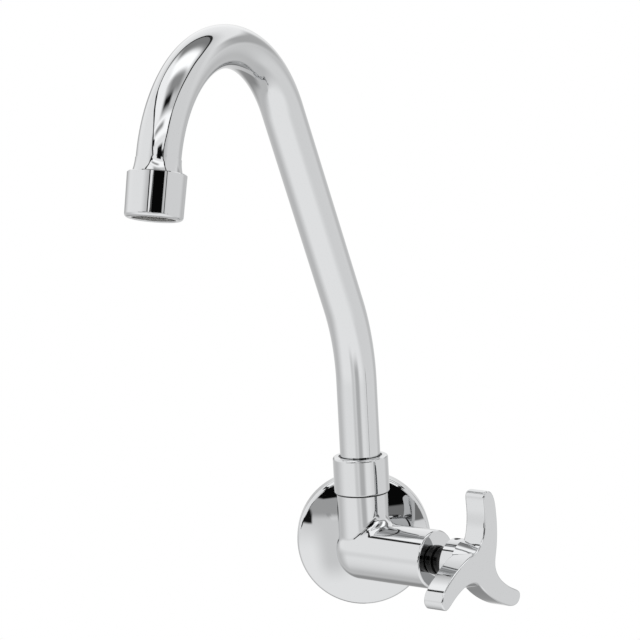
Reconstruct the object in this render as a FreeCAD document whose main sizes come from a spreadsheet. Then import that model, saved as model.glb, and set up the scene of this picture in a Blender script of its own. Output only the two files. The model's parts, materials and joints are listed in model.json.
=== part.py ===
import FreeCAD, Part
import math
import os

import Sketcher
from FreeCAD import Placement, Rotation, Vector

# Wall-mounted single cold-water sink tap with a swivelling gooseneck spout.
# Frame: millimetres, +Z up, +Y into the wall. The origin is the centre of the flange's
# wall face, on the axis of the inlet thread. The body axis, about which the spout swings,
# is vertical and stands in front of the wall. The valve branch points out and to the right.

SIZES = {
    # inlet and wall flange
    "body_standoff": 31.0,
    "inlet_thread_dia": 20.96,
    "inlet_thread_reach": 16.0,
    "inlet_bore_dia": 12.0,
    "shank_dia": 22.4,
    "shank_end_gap": 8.0,
    "flange_dia": 64.4,
    "flange_skirt": 9.0,
    "flange_rise": 5.0,
    "flange_wall": 1.2,
    "flange_shoulder_round": 2.4,
    "flange_ring_wire": 1.8,
    # valve body
    "boss_dia": 24.3,
    "boss_top": 28.0,
    "boss_blend": 6.0,
    "branch_dia": 27.8,
    "branch_reach": 42.5,
    "branch_turn": 50.4,
    "branch_bore_dia": 19.2,
    "seal_land_dia": 18.5,
    "seal_land_lead": 1.6,
    "seat_depth": 14.0,
    "cross_drill_dia": 4.0,
    "cross_drill_start": 18.5,
    "cross_drill_end": 22.0,
    "cross_drill_drop": 10.1,
    # swivel joint: "over_tube" and "under_tube" are differences in diameter
    "neck_over_tube": 2.95,
    "neck_height": 10.0,
    "socket_floor": 17.0,
    "tail_under_tube": 2.05,
    "tail_wall": 2.0,
    "tail_floor_gap": 2.5,
    "tail_spigot": 6.0,
    "collar_over_tube": 2.35,
    "collar_height": 2.0,
    "thrust_washer_height": 1.0,
    "tail_ring_wire": 1.4,
    "tail_ring_lower": 23.5,
    "tail_ring_pitch": 6.0,
    "nut_wall": 2.1,
    "nut_gap": 0.6,
    "nut_height": 17.4,
    "nut_mouth_over_tube": 1.75,
    "nut_top_round": 1.2,
    "bush_foot": 1.0,
    "bush_recess": 0.4,
    # spout tube
    "tube_dia": 19.05,
    "tube_wall": 1.0,
    "spout_swing": 28.5,
    "rise_straight": 34.7,
    "lean": 26.8,
    "lean_bend": 85.6,
    "leg_straight": 107.8,
    "arch_bend": 58.2,
    "arch_turn": 137.6,
    "tip_straight": 5.7,
    "tip_socket": 2.0,
    # ferrule and aerator
    "ferrule_cover": 6.0,
    "ferrule_edge": 0.2,
    "ferrule_flare_round": 20.0,
    "outlet_thread_over_tube": 2.35,
    "outlet_thread_reach": 7.0,
    "outlet_wall": 2.5,
    "aerator_wall": 1.95,
    "aerator_taper": 0.5,
    "aerator_height": 19.3,
    "aerator_chamfer": 0.4,
    "aerator_bottom_round": 1.6,
    "chamber_step": 0.3,
    "mouth_rim": 1.1,
    "mouth_lip": 1.7,
    "aerator_washer_height": 1.4,
    "insert_height": 7.2,
    "insert_hole_dia": 2.6,
    "insert_hole_pitch": 3.7,
    "screen_height": 0.6,
    "screen_hole_dia": 1.3,
    "screen_hole_pitch": 1.9,
    # bonnet cap and cartridge
    "cap_lip": 1.8,
    "cap_edge_round": 1.0,
    "cap_thread_dia": 20.96,
    "cap_thread_reach": 9.5,
    "cap_face_depth": 4.4,
    "cartridge_dia": 18.4,
    "inlet_seal_height": 1.5,
    "cavity_dia": 15.4,
    "cavity_depth": 10.5,
    "window_dia": 4.0,
    "window_offset": 7.9,
    "cartridge_ring_wire": 1.3,
    "neck_collar_dia": 13.8,
    "neck_collar_length": 1.6,
    "neck_groove_dia": 11.4,
    "neck_groove_width": 1.2,
    "neck_front_dia": 13.0,
    "neck_reach": 9.8,
    "neck_edge_round": 0.6,
    "disc_height": 2.8,
    "disc_port_dia": 4.6,
    "disc_port_offset": 4.2,
    "spindle_dia": 8.0,
    "spindle_head_dia": 11.6,
    "spindle_head_length": 4.6,
    "spindle_in_hub": 10.4,
    "spindle_ring_wire": 0.9,
    "spindle_ring_depth": 4.1,
    # handle
    "hub_gap": 10.1,
    "hub_dia": 22.7,
    "hub_length": 6.4,
    "hub_front_dia": 18.6,
    "star_thickness": 11.0,
    "star_reach": 34.2,
    "star_tilt": 0.0,
    "star_edge_round": 0.9,
    "grub_dia": 3.0,
    "grub_length": 5.0,
    "grub_place": 2.6,
    "grub_socket": 1.5,
    # clearances
    "running_gap": 0.05,
    "face_gap": 0.03,
    "cut_overrun": 1.0,
}

# One arm of the star handle, tip towards +Y: from its left saddle, over the tip, down its
# right side. The heights are shares of star_reach, the widths are in millimetres. The tip is
# the middle point of the list.
ARM_OUTLINE = [
    (-2.7, 0.265),
    (0.6, 0.400),
    (2.0, 0.570),
    (2.3, 0.740),
    (2.0, 0.880),
    (2.6, 0.970),
    (4.9, 1.000),
    (7.9, 0.975),
    (10.0, 0.890),
    (11.3, 0.720),
    (11.7, 0.520),
    (11.4, 0.330),
    (10.4, 0.160),
]
ARMS = 3

doc = FreeCAD.newDocument("wall_tap")
sheet = doc.addObject("Spreadsheet::Sheet", "sizes")
for row, (name, number) in enumerate(SIZES.items(), start=1):
    sheet.set("A%d" % row, name)
    sheet.set("B%d" % row, str(number))
    sheet.setAlias("B%d" % row, name)
doc.recompute()


class Size:
    """A number from the sheet, or worked out from it, with the expression that says how."""

    def __init__(self, text, value):
        self.text = text
        self.value = value

    def joined(self, sign, other, result):
        return Size("(%s %s %s)" % (self.text, sign, text_of(other)), result)

    def __add__(self, other):
        return self.joined("+", other, self.value + value_of(other))

    def __sub__(self, other):
        return self.joined("-", other, self.value - value_of(other))

    def __mul__(self, other):
        return self.joined("*", other, self.value * value_of(other))

    def __truediv__(self, other):
        return self.joined("/", other, self.value / value_of(other))

    def __neg__(self):
        return Size("(0 - %s)" % self.text, -self.value)


def value_of(number):
    return number.value if isinstance(number, Size) else float(number)


def text_of(number):
    return number.text if isinstance(number, Size) else repr(float(number))


def size(name):
    return Size("sizes." + name, SIZES[name])


def half(name):
    return size(name) / 2


# Radii that follow the spout tube, so that what slides over or into it still fits.
running = size("running_gap")
face = size("face_gap")
overrun = size("cut_overrun")
tube_radius = half("tube_dia")
neck_radius = tube_radius + half("neck_over_tube")
tail_radius = tube_radius - half("tail_under_tube")
tail_bore = tail_radius - size("tail_wall")
collar_radius = tube_radius + half("collar_over_tube")
nut_radius = neck_radius + size("nut_wall")
nut_mouth = tube_radius + half("nut_mouth_over_tube")
outlet_thread = tube_radius + half("outlet_thread_over_tube")
outlet_bore = outlet_thread - size("outlet_wall")
aerator_radius = outlet_thread + size("aerator_wall")
chamber_radius = outlet_thread - size("chamber_step")
mouth_radius = chamber_radius - size("mouth_rim")

# Places that several pieces share.
neck_top = size("boss_top") + size("neck_height")
collar_base = neck_top + size("thrust_washer_height") + face
tube_base = collar_base + size("collar_height")
nut_base = size("boss_top") + size("nut_gap")
nut_top = nut_base + size("nut_height")
cap_back = size("branch_reach") - size("cap_lip")
cap_shoulder = size("branch_reach") - size("cap_face_depth")
cartridge_base = size("seat_depth") + size("inlet_seal_height")
neck_end = size("branch_reach") + size("neck_reach")
hub_back = size("branch_reach") + size("hub_gap")
star_back = hub_back + size("hub_length")
star_front = star_back + size("star_thickness")
disc_split = cartridge_base + size("disc_height")
spindle_base = disc_split + size("disc_height") + face
cavity_end = cartridge_base + size("cavity_depth")
cap_thread_end = cap_back - size("cap_thread_reach")
cartridge_ring_place = (cavity_end + cap_thread_end) / 2
seal_land_start = cartridge_ring_place - size("seal_land_lead")
spindle_ring_place = cap_shoulder - size("spindle_ring_depth")
spindle_end = hub_back + size("spindle_in_hub")

# Placements of the four working axes.
turn = math.radians(SIZES["branch_turn"])
branch_axis = Vector(math.sin(turn), -math.cos(turn), 0)
branch_side = Vector(math.cos(turn), math.sin(turn), 0)
up = Vector(0, 0, 1)
body_centre = Vector(0, -SIZES["body_standoff"], 0)
AT_BODY = Placement(body_centre, Rotation())
AT_BRANCH = Placement(body_centre, Rotation(branch_side, up, branch_axis, "ZXY"))
AT_WALL = Placement(Vector(0, 0, 0), Rotation(Vector(1, 0, 0), 90))
SPOUT_TURN = Rotation(up, -90 - SIZES["spout_swing"])
AT_SPOUT = Placement(body_centre, SPOUT_TURN)


def exit_placement():
    """Where the aerator's top plane lies: local Z runs down along the water's way out."""
    lean = math.radians(SIZES["lean"])
    last = math.radians(SIZES["lean"] + SIZES["arch_turn"])
    bend, arch = SIZES["lean_bend"], SIZES["arch_bend"]
    out = bend * (1 - math.cos(lean)) + SIZES["leg_straight"] * math.sin(lean)
    out += arch * (math.cos(lean) - math.cos(last)) + SIZES["tip_straight"] * math.sin(last)
    rise = nut_top.value + SIZES["rise_straight"] + bend * math.sin(lean)
    rise += SIZES["leg_straight"] * math.cos(lean)
    rise += arch * (math.sin(last) - math.sin(lean)) + SIZES["tip_straight"] * math.cos(last)
    local = Placement(Vector(out, 0, rise), Rotation(Vector(0, 1, 0), math.degrees(last)))
    return AT_SPOUT.multiply(local)


AT_EXIT = exit_placement()


def origin_plane(body, role):
    return [item for item in body.Origin.OriginFeatures if item.Role == role][0]


def new_body(label, placement):
    body = doc.addObject("PartDesign::Body", label)
    body.Label = label
    body.Placement = placement
    return body


def new_sketch(body, role):
    sketch = body.newObject("Sketcher::SketchObject", "sketch")
    sketch.AttachmentSupport = [(origin_plane(body, role), "")]
    sketch.MapMode = "FlatFace"
    return sketch


def bind(sketch, constraint, number):
    """Add a constraint whose value follows the sheet."""
    index = sketch.addConstraint(constraint)
    if isinstance(number, Size):
        sketch.setExpression("Constraints[%d]" % index, number.text)


def pin_point(sketch, geometry, end, x, y):
    """Hold one end of a line or arc at a place given by the sheet."""
    for kind, number, axis in (("DistanceX", x, -2), ("DistanceY", y, -1)):
        if value_of(number) == 0:
            sketch.addConstraint(Sketcher.Constraint("PointOnObject", geometry, end, axis))
        else:
            fixed = Sketcher.Constraint(kind, -1, 1, geometry, end, value_of(number))
            bind(sketch, fixed, number)


def arc_between(start, end, centre):
    """A circular arc by the shorter way round. Says whether it runs from start to end."""
    circle = Part.Circle(centre, Vector(0, 0, 1), (start - centre).Length)
    first = circle.parameter(start)
    last = circle.parameter(end)
    forward = (last - first) % (2 * math.pi) < math.pi
    if forward:
        return Part.ArcOfCircle(circle, first, last), True
    return Part.ArcOfCircle(circle, last, first), False


def closed_profile(sketch, corners, arcs=None):
    """A closed outline through the corners. arcs gives, for the side that starts at a
    corner, the arc's centre height (None where the centre is on the axis) or its radius."""
    arcs = arcs or {}
    points = [Vector(value_of(x), value_of(y), 0) for x, y in corners]
    ends = []
    for i, start in enumerate(points):
        end = points[(i + 1) % len(points)]
        if i not in arcs:
            sketch.addGeometry(Part.LineSegment(start, end))
            ends.append((1, 2))
            continue
        if arcs[i] is None:
            squares = start.x ** 2 + start.y ** 2 - end.x ** 2 - end.y ** 2
            centre = Vector(0, squares / (2 * (start.y - end.y)), 0)
        else:
            centre = bulge_centre(start, end, value_of(arcs[i]))
        curve, forward = arc_between(start, end, centre)
        sketch.addGeometry(curve)
        ends.append((1, 2) if forward else (2, 1))
    for i, (x, y) in enumerate(corners):
        j = (i + 1) % len(corners)
        sketch.addConstraint(Sketcher.Constraint("Coincident", i, ends[i][1], j, ends[j][0]))
    for i, (x, y) in enumerate(corners):
        pin_point(sketch, i, ends[i][0], x, y)
    for i, radius in arcs.items():
        if radius is None:
            sketch.addConstraint(Sketcher.Constraint("PointOnObject", i, 3, -2))
        else:
            bind(sketch, Sketcher.Constraint("Radius", i, value_of(radius)), radius)


def bulge_centre(start, end, radius):
    """Centre of an arc of this radius, on the side away from the axis."""
    middle = (start + end) / 2
    along = end - start
    across = Vector(abs(along.y), -abs(along.x) * math.copysign(1, along.x * along.y), 0)
    across.normalize()
    return middle + across * math.sqrt(radius ** 2 - (along.Length / 2) ** 2)


def turned(label, placement, corners, arcs=None):
    """A piece turned about its local Z from an outline of (radius, height) corners."""
    body = new_body(label, placement)
    sketch = new_sketch(body, "XZ_Plane")
    closed_profile(sketch, corners, arcs)
    revolution = body.newObject("PartDesign::Revolution", "turned")
    revolution.Profile = sketch
    revolution.ReferenceAxis = (sketch, ["V_Axis"])
    revolution.Angle = 360
    doc.recompute()
    return body


def ring(label, placement, inner, outer, low, high):
    return turned(label, placement, [(inner, low), (outer, low), (outer, high), (inner, high)])


def circle_edges(shape, radius, height):
    """Names of the full circles of this radius at this height on the local Z axis."""
    found = []
    for i, edge in enumerate(shape.Edges, start=1):
        curve = edge.Curve
        if not isinstance(curve, Part.Circle):
            continue
        level = abs(curve.Center.z - value_of(height)) < 0.001
        if level and abs(curve.Radius - value_of(radius)) < 0.001:
            found.append("Edge%d" % i)
    return found


def rounded(body, radius, height, amount):
    """Round the turned edge at this radius and height."""
    fillet = body.newObject("PartDesign::Fillet", "rounding")
    fillet.Base = (body_base(body), circle_edges(body_base(body).Shape, radius, height))
    fillet.setExpression("Radius", amount.text)
    body.Tip = fillet
    doc.recompute()


def body_base(body):
    """The last feature that made a solid."""
    solids = [item for item in body.Group if item.isDerivedFrom("PartDesign::Feature")]
    solids = [item for item in solids if not item.Shape.isNull() and item.Shape.Solids]
    return solids[-1]


def torus(label, placement, wire, inner, height):
    """A rubber ring that lies in its groove."""
    shape = doc.addObject("Part::Torus", label)
    shape.Label = label
    shape.setExpression("Radius1", (inner + wire / 2).text)
    shape.setExpression("Radius2", (wire / 2).text)
    shape.Placement = placement.multiply(Placement(Vector(0, 0, value_of(height)), Rotation()))
    return shape


def cylinder(name, radius, height, placement):
    shape = doc.addObject("Part::Cylinder", name)
    shape.setExpression("Radius", radius.text)
    shape.setExpression("Height", height.text)
    shape.Placement = placement
    return shape


def sphere(name, radius):
    """A ball at the body's centre, turned so that its poles lie level, clear of the bores."""
    shape = doc.addObject("Part::Sphere", name)
    shape.setExpression("Radius", radius.text)
    shape.Placement = Placement(body_centre, Rotation(Vector(0, 1, 0), 90))
    return shape


def shifted(placement, distance):
    return placement.multiply(Placement(Vector(0, 0, value_of(distance)), Rotation()))


def fused(name, shapes):
    joined = doc.addObject("Part::MultiFuse", name)
    joined.Shapes = shapes
    joined.Refine = True
    return joined


def cut(name, base, tool):
    result = doc.addObject("Part::Cut", name)
    result.Base = base
    result.Tool = tool
    return result


def pocket_holes(body, centres, radius, low, depth):
    """Drill straight holes through a turned disc, from the level low up by depth."""
    sketch = new_sketch(body, "XY_Plane")
    sketch.AttachmentOffset = Placement(Vector(0, 0, value_of(low)), Rotation())
    sketch.setExpression("AttachmentOffset.Base.z", low.text)
    for i, (x, y) in enumerate(centres):
        sketch.addGeometry(Part.Circle(Vector(value_of(x), value_of(y), 0), up, value_of(radius)))
        bind(sketch, Sketcher.Constraint("Radius", i, value_of(radius)), radius)
        pin_point(sketch, i, 3, x, y)
    drill = body.newObject("PartDesign::Pocket", "holes")
    drill.Profile = sketch
    drill.Type = 0
    drill.setExpression("Length", depth.text)
    drill.Reversed = True
    body.Tip = drill
    doc.recompute()


def round_grid(pitch, rings):
    """Hole centres on rings of six, twelve and so on round one in the middle."""
    centres = [(0, 0)]
    for number in range(1, rings + 1):
        count = 6 * number
        for k in range(count):
            angle = 2 * math.pi * (k + 0.25) / count
            centres.append((pitch * (number * math.cos(angle)), pitch * (number * math.sin(angle))))
    return centres


def make_valve_body():
    """Cast brass body: vertical boss, ball-shaped elbow, valve branch and wall shank."""
    back = Rotation(Vector(1, 0, 0), -90)
    to_wall = Placement(body_centre, back)
    shank_length = size("body_standoff") - size("shank_end_gap")
    tail_length = size("body_standoff") + size("inlet_thread_reach")
    outer = fused("body_outer", [
        cylinder("boss", half("boss_dia"), size("boss_top"), AT_BODY),
        sphere("elbow", half("branch_dia")),
        cylinder("branch", half("branch_dia"), cap_back, AT_BRANCH),
        cylinder("shank", half("shank_dia"), shank_length, to_wall),
    ])
    doc.recompute()
    blended = doc.addObject("Part::Fillet", "body_blended")
    blended.Base = outer
    blend = SIZES["boss_blend"]
    blended.Edges = [(i, blend, blend) for i in boss_root_edges(outer.Shape)]
    doc.recompute()
    whole = fused("body_whole", [
        blended,
        cylinder("swivel_neck", neck_radius, neck_top, AT_BODY),
        cylinder("inlet_tail", half("inlet_thread_dia"), tail_length, to_wall),
    ])
    bore = half("inlet_bore_dia")
    drill_slope = math.atan2(SIZES["cross_drill_drop"], SIZES["cross_drill_end"])
    drill_start = Vector(0, SIZES["cross_drill_start"], 0)
    drill_tilt = Rotation(Vector(1, 0, 0), math.degrees(drill_slope))
    drill_place = AT_BRANCH.multiply(Placement(drill_start, drill_tilt))
    drill_length = size("cross_drill_end")
    waterways = fused("waterways", [
        cylinder("inlet_bore", bore, tail_length + overrun, to_wall),
        sphere("corner_bore", bore),
        cylinder("seat_bore", bore, size("seat_depth") + overrun, AT_BRANCH),
        cylinder("chamber", half("branch_bore_dia"), seal_land_start - size("seat_depth"),
                 shifted(AT_BRANCH, size("seat_depth"))),
        cylinder("seal_land", half("seal_land_dia"), cap_back - size("seat_depth"),
                 shifted(AT_BRANCH, size("seat_depth"))),
        cylinder("cap_bore", half("cap_thread_dia") + running, size("cap_thread_reach") + overrun,
                 shifted(AT_BRANCH, cap_thread_end)),
        cylinder("spout_socket", tail_radius + running,
                 neck_top - size("socket_floor") + overrun,
                 shifted(AT_BODY, size("socket_floor"))),
        cylinder("cross_drill", half("cross_drill_dia"), drill_length, drill_place),
    ])
    piece = cut("valve_body", whole, waterways)
    piece.Label = "valve_body"
    return piece


def boss_root_edges(shape):
    """Edges where the upright boss runs into the elbow and the branch."""
    found = []
    boss = SIZES["boss_dia"] / 2
    for i, edge in enumerate(shape.Edges, start=1):
        span = edge.LastParameter - edge.FirstParameter
        points = [edge.valueAt(edge.FirstParameter + share * span) - body_centre
                  for share in (0.02, 0.35, 0.65, 0.98)]
        on_boss = all(abs(math.hypot(point.x, point.y) - boss) < 0.01 for point in points)
        low = all(0.5 < point.z < SIZES["boss_top"] - 1 for point in points)
        across = (points[0] - points[-1]).cross(up).Length
        if on_boss and low and across > 0.1:
            found.append(i)
    return found


def make_wall_side():
    """The flange is a pressed cup with a shallow domed face. A rubber ring holds it."""
    rim = half("flange_dia")
    mouth = half("shank_dia") + running
    skirt = size("flange_skirt")
    top = skirt + size("flange_rise")
    wall = size("flange_wall")
    corners = [(rim - wall, 0), (rim, 0), (rim, skirt), (mouth, top),
               (mouth, top - wall), (rim - wall, skirt - wall)]
    flange = turned("wall_flange", AT_WALL, corners, {2: None, 4: None})
    rounded(flange, rim, skirt, size("flange_shoulder_round"))
    wire = size("flange_ring_wire")
    middle = half("shank_dia") + wire / 2
    dome = (mouth.value, (top - wall).value, (rim - wall).value, (skirt - wall).value)
    torus("flange_ring", AT_WALL, wire, half("shank_dia"), under_dome(dome, middle, wire / 2 + face))


def under_dome(dome, radius, clear):
    """Height at which a ring of this radius lies clear below a dome's inner face. The dome
    is given by two points of its arc, whose centre is on the axis."""
    inner, high, outer, low = dome
    centre = (inner ** 2 + high ** 2 - outer ** 2 - low ** 2) / (2 * (high - low))
    shell = math.hypot(inner, high - centre) - clear.value
    return centre + math.sqrt(shell ** 2 - radius.value ** 2)


def make_swivel():
    """Union nut, plastic bush and thrust washer, which stay with the body."""
    bore = neck_radius + running
    mouth = nut_mouth
    shelf = tube_base + face + size("bush_foot")
    nut = turned("spout_nut", AT_BODY, [
        (bore, nut_base), (nut_radius, nut_base), (nut_radius, nut_top),
        (mouth, nut_top), (mouth, shelf), (bore, shelf)])
    rounded(nut, nut_radius, nut_top, size("nut_top_round"))
    rounded(nut, nut_radius, nut_base, size("nut_top_round") / 2)
    inner = tube_radius + running
    turned("swivel_bush", AT_BODY, [
        (inner, tube_base + face), (neck_radius, tube_base + face),
        (neck_radius, shelf), (mouth - running, shelf),
        (mouth - running, nut_top - size("bush_recess")), (inner, nut_top - size("bush_recess"))])
    ring("thrust_washer", AT_BODY, tail_radius + running * 2, collar_radius,
         neck_top, neck_top + size("thrust_washer_height"))


def make_spout_tail():
    """Turned brass end of the spout, with two ring grooves, soldered into the tube."""
    outer = tail_radius
    bore = tail_bore
    wire = size("tail_ring_wire")
    low_ring = size("tail_ring_lower")
    high_ring = low_ring + size("tail_ring_pitch")
    half_width = wire / 2 + running
    floor = outer - wire
    corners = [(bore, size("socket_floor") + size("tail_floor_gap")),
               (outer, size("socket_floor") + size("tail_floor_gap"))]
    for place in (low_ring, high_ring):
        corners += [(outer, place - half_width), (floor, place - half_width),
                    (floor, place + half_width), (outer, place + half_width)]
    spigot = tube_radius - size("tube_wall") - face
    corners += [(outer, collar_base), (collar_radius, collar_base),
                (collar_radius, tube_base), (spigot, tube_base),
                (spigot, tube_base + size("tail_spigot")), (bore, tube_base + size("tail_spigot"))]
    turned("spout_tail", AT_SPOUT, corners)
    torus("tail_ring_lower", AT_SPOUT, wire, floor, low_ring)
    torus("tail_ring_upper", AT_SPOUT, wire, floor, high_ring)


def make_spout_tube():
    """Bent brass tube: upright, a slow lean outwards, a long leg, the arch and the tip."""
    body = new_body("spout_tube", shifted(AT_SPOUT, tube_base))
    lean = math.radians(SIZES["lean"])
    last = math.radians(SIZES["lean"] + SIZES["arch_turn"])
    rise = nut_top + size("rise_straight") - tube_base
    tip = size("tip_straight") + size("tip_socket")
    lower, upper = SIZES["lean_bend"], SIZES["arch_bend"]
    a = Vector(0, rise.value, 0)
    lower_centre = a + Vector(lower, 0, 0)
    b = lower_centre + Vector(-math.cos(lean), math.sin(lean), 0) * lower
    c = b + Vector(math.sin(lean), math.cos(lean), 0) * SIZES["leg_straight"]
    upper_centre = c + Vector(math.cos(lean), -math.sin(lean), 0) * upper
    d = upper_centre + Vector(-math.cos(last), math.sin(last), 0) * upper
    e = d + Vector(math.sin(last), math.cos(last), 0) * tip.value
    path = new_sketch(body, "XZ_Plane")
    path.addGeometry(Part.LineSegment(Vector(0, 0, 0), a))
    path.addGeometry(arc_between(a, b, lower_centre)[0])
    path.addGeometry(Part.LineSegment(b, c))
    arch = Part.Circle(upper_centre, up, upper)
    path.addGeometry(Part.ArcOfCircle(arch, math.pi - last, math.pi - lean))
    path.addGeometry(Part.LineSegment(d, e))
    path.addConstraint(Sketcher.Constraint("Coincident", 0, 1, -1, 1))
    path.addConstraint(Sketcher.Constraint("Vertical", 0))
    for first, first_end, second, second_end in ((0, 2, 1, 2), (1, 1, 2, 1), (2, 2, 3, 2), (3, 1, 4, 1)):
        path.addConstraint(Sketcher.Constraint("Tangent", first, first_end, second, second_end))
    bind(path, Sketcher.Constraint("Distance", 0, rise.value), rise)
    bind(path, Sketcher.Constraint("Radius", 1, lower), size("lean_bend"))
    bind(path, Sketcher.Constraint("Distance", 2, SIZES["leg_straight"]), size("leg_straight"))
    bind(path, Sketcher.Constraint("Radius", 3, upper), size("arch_bend"))
    bind(path, Sketcher.Constraint("Distance", 4, tip.value), tip)
    angle = path.addConstraint(Sketcher.Constraint("Angle", 2, math.pi / 2 - lean))
    path.setExpression("Constraints[%d]" % angle, "90 deg - sizes.lean * 1 deg")
    angle = path.addConstraint(Sketcher.Constraint("Angle", 4, math.pi / 2 - last))
    path.setExpression("Constraints[%d]" % angle, "90 deg - (sizes.lean + sizes.arch_turn) * 1 deg")
    section = new_sketch(body, "XY_Plane")
    for i, radius in enumerate((tube_radius, tube_radius - size("tube_wall"))):
        section.addGeometry(Part.Circle(Vector(0, 0, 0), up, radius.value))
        section.addConstraint(Sketcher.Constraint("Coincident", i, 3, -1, 1))
        bind(section, Sketcher.Constraint("Radius", i, radius.value), radius)
    pipe = body.newObject("PartDesign::AdditivePipe", "bent_tube")
    pipe.Profile = section
    pipe.Spine = path
    doc.recompute()


def make_outlet():
    """Flared ferrule soldered on the tip, and the aerator that screws on it."""
    tube = tube_radius + face
    thread = outlet_thread
    reach = size("outlet_thread_reach")
    cover = -size("ferrule_cover")
    turned("outlet_ferrule", AT_EXIT, [
        (tube, cover), (tube + size("ferrule_edge"), cover), (thread, 0),
        (thread, reach), (outlet_bore, reach),
        (outlet_bore, size("tip_socket") + face), (tube, size("tip_socket") + face)],
        {1: size("ferrule_flare_round")})
    top = aerator_radius
    bottom = top - size("aerator_taper") / 2
    end = size("aerator_height")
    chamfer = size("aerator_chamfer")
    chamber = chamber_radius
    step = reach + face * 2
    floor = end - size("mouth_lip")
    housing = turned("aerator_housing", AT_EXIT, [
        (thread + running, face), (top - chamfer, face), (top, face + chamfer), (bottom, end),
        (mouth_radius, end), (mouth_radius, floor), (chamber, floor),
        (chamber, step), (thread + running, step)])
    rounded(housing, bottom, end, size("aerator_bottom_round"))
    rounded(housing, mouth_radius, end, size("aerator_chamfer"))
    seat = reach + face * 3
    washer_end = seat + size("aerator_washer_height")
    ring("aerator_washer", AT_EXIT, outlet_bore, chamber - running, seat, washer_end)
    insert_end = washer_end + size("insert_height")
    insert = ring("aerator_insert", AT_EXIT, 0, chamber - running, washer_end, insert_end)
    pocket_holes(insert, round_grid(size("insert_hole_pitch"), 2), half("insert_hole_dia"),
                 washer_end, size("insert_height"))
    screen_base = floor - face - size("screen_height")
    screen = ring("aerator_screen", AT_EXIT, 0, chamber - running, screen_base, floor - face)
    pocket_holes(screen, round_grid(size("screen_hole_pitch"), 4), half("screen_hole_dia"),
                 screen_base, size("screen_height"))


def make_bonnet():
    """Polished cap that screws into the branch and holds the cartridge down."""
    front = size("branch_reach")
    cap = turned("bonnet_cap", AT_BRANCH, [
        (half("cartridge_dia") + running, cap_thread_end), (half("cap_thread_dia"), cap_thread_end),
        (half("cap_thread_dia"), cap_back), (half("branch_dia"), cap_back),
        (half("branch_dia"), front), (half("neck_collar_dia") + running, front),
        (half("neck_collar_dia") + running, cap_shoulder),
        (half("cartridge_dia") + running, cap_shoulder)])
    rounded(cap, half("branch_dia"), front, size("cap_edge_round"))


def make_cartridge():
    """Black moulded quarter-turn cartridge with its seals and the fixed ceramic disc."""
    outer = half("cartridge_dia")
    cavity = half("cavity_dia")
    shaft = half("spindle_dia") + running
    wire = size("cartridge_ring_wire")
    place = cartridge_ring_place
    half_width = wire / 2 + running
    collar = half("neck_collar_dia")
    groove = half("neck_groove_dia")
    front = half("neck_front_dia")
    groove_start = size("branch_reach") + size("neck_collar_length")
    groove_end = groove_start + size("neck_groove_width")
    body = turned("cartridge_body", AT_BRANCH, [
        (cavity, cartridge_base), (outer, cartridge_base),
        (outer, place - half_width), (outer - wire, place - half_width),
        (outer - wire, place + half_width), (outer, place + half_width),
        (outer, cap_shoulder - face), (collar, cap_shoulder - face),
        (collar, groove_start), (groove, groove_start), (groove, groove_end),
        (front, groove_end), (front, neck_end), (shaft, neck_end),
        (shaft, cavity_end), (cavity, cavity_end)])
    rounded(body, collar, groove_start, size("neck_edge_round"))
    rounded(body, front, groove_end, size("neck_edge_round"))
    add_windows(body)
    torus("cartridge_ring", AT_BRANCH, wire, outer - wire, place)
    ring("inlet_seal", AT_BRANCH, half("inlet_bore_dia"), outer, size("seat_depth"), cartridge_base)
    fixed = ring("fixed_disc", AT_BRANCH, 0, cavity - running, cartridge_base, disc_split)
    ports = [(size("disc_port_offset"), 0), (-size("disc_port_offset"), 0)]
    pocket_holes(fixed, ports, half("disc_port_dia"), cartridge_base, size("disc_height"))


def add_windows(body):
    """Side windows that let the water out of the cartridge into the branch."""
    sketch = new_sketch(body, "XZ_Plane")
    height = cartridge_base + size("window_offset")
    radius = half("window_dia")
    sketch.addGeometry(Part.Circle(Vector(0, height.value, 0), up, radius.value))
    bind(sketch, Sketcher.Constraint("Radius", 0, radius.value), radius)
    pin_point(sketch, 0, 3, 0, height)
    window = body.newObject("PartDesign::Pocket", "windows")
    window.Profile = sketch
    window.Type = 0
    window.setExpression("Length", (size("cartridge_dia") + 2).text)
    window.Midplane = True
    body.Tip = window
    doc.recompute()


def make_spindle():
    """What turns with the handle: spindle, its rubber ring and the moving disc."""
    shaft = half("spindle_dia")
    wire = size("spindle_ring_wire")
    place = spindle_ring_place
    half_width = wire / 2 + running
    head_end = spindle_base + size("spindle_head_length")
    turned("spindle", AT_BRANCH, [
        (0, spindle_base), (half("spindle_head_dia"), spindle_base),
        (half("spindle_head_dia"), head_end), (shaft, head_end),
        (shaft, place - half_width), (shaft - wire, place - half_width),
        (shaft - wire, place + half_width), (shaft, place + half_width),
        (shaft, spindle_end), (0, spindle_end)])
    torus("spindle_ring", AT_BRANCH, wire, shaft - wire, place)
    disc = ring("moving_disc", AT_BRANCH, 0, half("cavity_dia") - running * 2,
                disc_split + face, spindle_base)
    pocket_holes(disc, [(0, size("disc_port_offset")), (0, -size("disc_port_offset"))],
                 half("disc_port_dia"), disc_split + face, size("disc_height"))


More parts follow.
